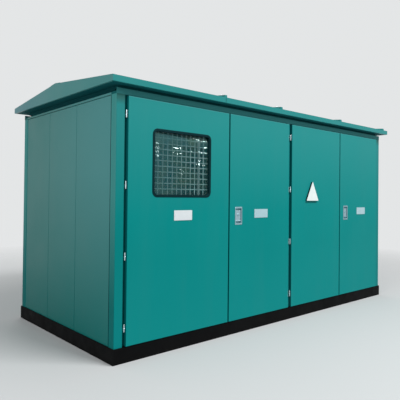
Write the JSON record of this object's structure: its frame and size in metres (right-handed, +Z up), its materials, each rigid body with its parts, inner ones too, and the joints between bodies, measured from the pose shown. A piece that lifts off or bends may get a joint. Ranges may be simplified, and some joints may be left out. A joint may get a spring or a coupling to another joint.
{
  "type": "compact substation housing",
  "caption": "Low-voltage walk-up substation housing: black channel base, teal panelled body, wide hinged doors with a meshed window and paddle locks, and a low gable roof with ribs.",
  "frame": {"origin": "on the ground, under the middle of the housing", "axes": "+X along the door side towards the right end, +Y from the doors to the rear wall, +Z up"},
  "size_m": [4.886, 2.274, 2.653],
  "materials": {
    "body_paint": "satin",
    "roof_paint": "satin",
    "frame_paint": "satin",
    "underside_paint": "matte",
    "base_paint": "satin",
    "floor_steel": "satin",
    "zinc_hardware": "zinc plated",
    "galvanised_mesh": "galvanised",
    "black_rubber": "matte",
    "window_glass": "clear"
  },
  "bodies": {
    "housing": {"base_cross_members": "base_paint", "base_front_channel": "base_paint", "base_left_channel": "base_paint", "base_rear_channel": "base_paint", "base_right_channel": "base_paint", "ceiling_slab": "underside_paint", "centre_post": "frame_paint", "centre_post_hinges": "zinc_hardware", "floor_plate": "floor_steel", "front_fascia": "roof_paint", "front_header": "body_paint", "front_left_post": "body_paint", "front_right_post": "body_paint", "left_doorway_frame": "frame_paint", "left_gable": "roof_paint", "left_panel_1": "body_paint", "left_panel_2": "body_paint", "left_panel_3": "body_paint", "left_post_hinges": "zinc_hardware", "left_top_rail": "body_paint", "rear_fascia": "roof_paint", "rear_header": "body_paint", "rear_left_post": "body_paint", "rear_panels": "body_paint", "rear_right_post": "body_paint", "ridge_cap": "roof_paint", "right_doorway_frame": "frame_paint", "right_gable": "roof_paint", "right_panel_1": "body_paint", "right_panel_2": "body_paint", "right_panel_3": "body_paint", "right_post_hinges": "zinc_hardware", "right_top_rail": "body_paint", "roof_front_slope": "roof_paint", "roof_rear_slope": "roof_paint", "roof_trusses": "underside_paint"},
    "door_1": {"door_1_hinges": "zinc_hardware", "door_1_leaf": "body_paint", "window_gasket": "black_rubber", "window_glass": "window_glass", "window_mesh": "galvanised_mesh"},
    "door_2": {"door_2_hinges": "zinc_hardware", "door_2_leaf": "body_paint", "lock_2_frame": "zinc_hardware"},
    "door_3": {"door_3_hinges": "zinc_hardware", "door_3_leaf": "body_paint"},
    "door_4": {"door_4_hinges": "zinc_hardware", "door_4_leaf": "body_paint", "lock_4_frame": "zinc_hardware"},
    "lock_paddle_2": {"lock_2_paddle": "zinc_hardware"},
    "lock_paddle_4": {"lock_4_paddle": "zinc_hardware"}
  },
  "joints": [
    {"name": "door_1_hinge", "type": "hinge", "parent": "housing", "child": "door_1", "pos_m": [-2.247, -1.054, 1.265], "axis": [0, 0, -1], "range_deg": [0, 110]},
    {"name": "door_2_hinge", "type": "hinge", "parent": "housing", "child": "door_2", "pos_m": [0.092, -1.054, 1.265], "axis": [0, 0, 1], "range_deg": [0, 85]},
    {"name": "door_3_hinge", "type": "hinge", "parent": "housing", "child": "door_3", "pos_m": [0.13, -1.054, 1.265], "axis": [0, 0, -1], "range_deg": [0, 85]},
    {"name": "door_4_hinge", "type": "hinge", "parent": "housing", "child": "door_4", "pos_m": [2.247, -1.054, 1.265], "axis": [0, 0, 1], "range_deg": [0, 110]},
    {"name": "lock_2_paddle_pull", "type": "hinge", "parent": "door_2", "child": "lock_paddle_2", "pos_m": [-0.805, -1.061, 1.336], "axis": [-1, 0, 0], "range_deg": [0, 30], "stiffness_Nm_per_rad": 0.6},
    {"name": "lock_4_paddle_pull", "type": "hinge", "parent": "door_4", "child": "lock_paddle_4", "pos_m": [1.363, -1.061, 1.336], "axis": [-1, 0, 0], "range_deg": [0, 30], "stiffness_Nm_per_rad": 0.6}
  ]
}
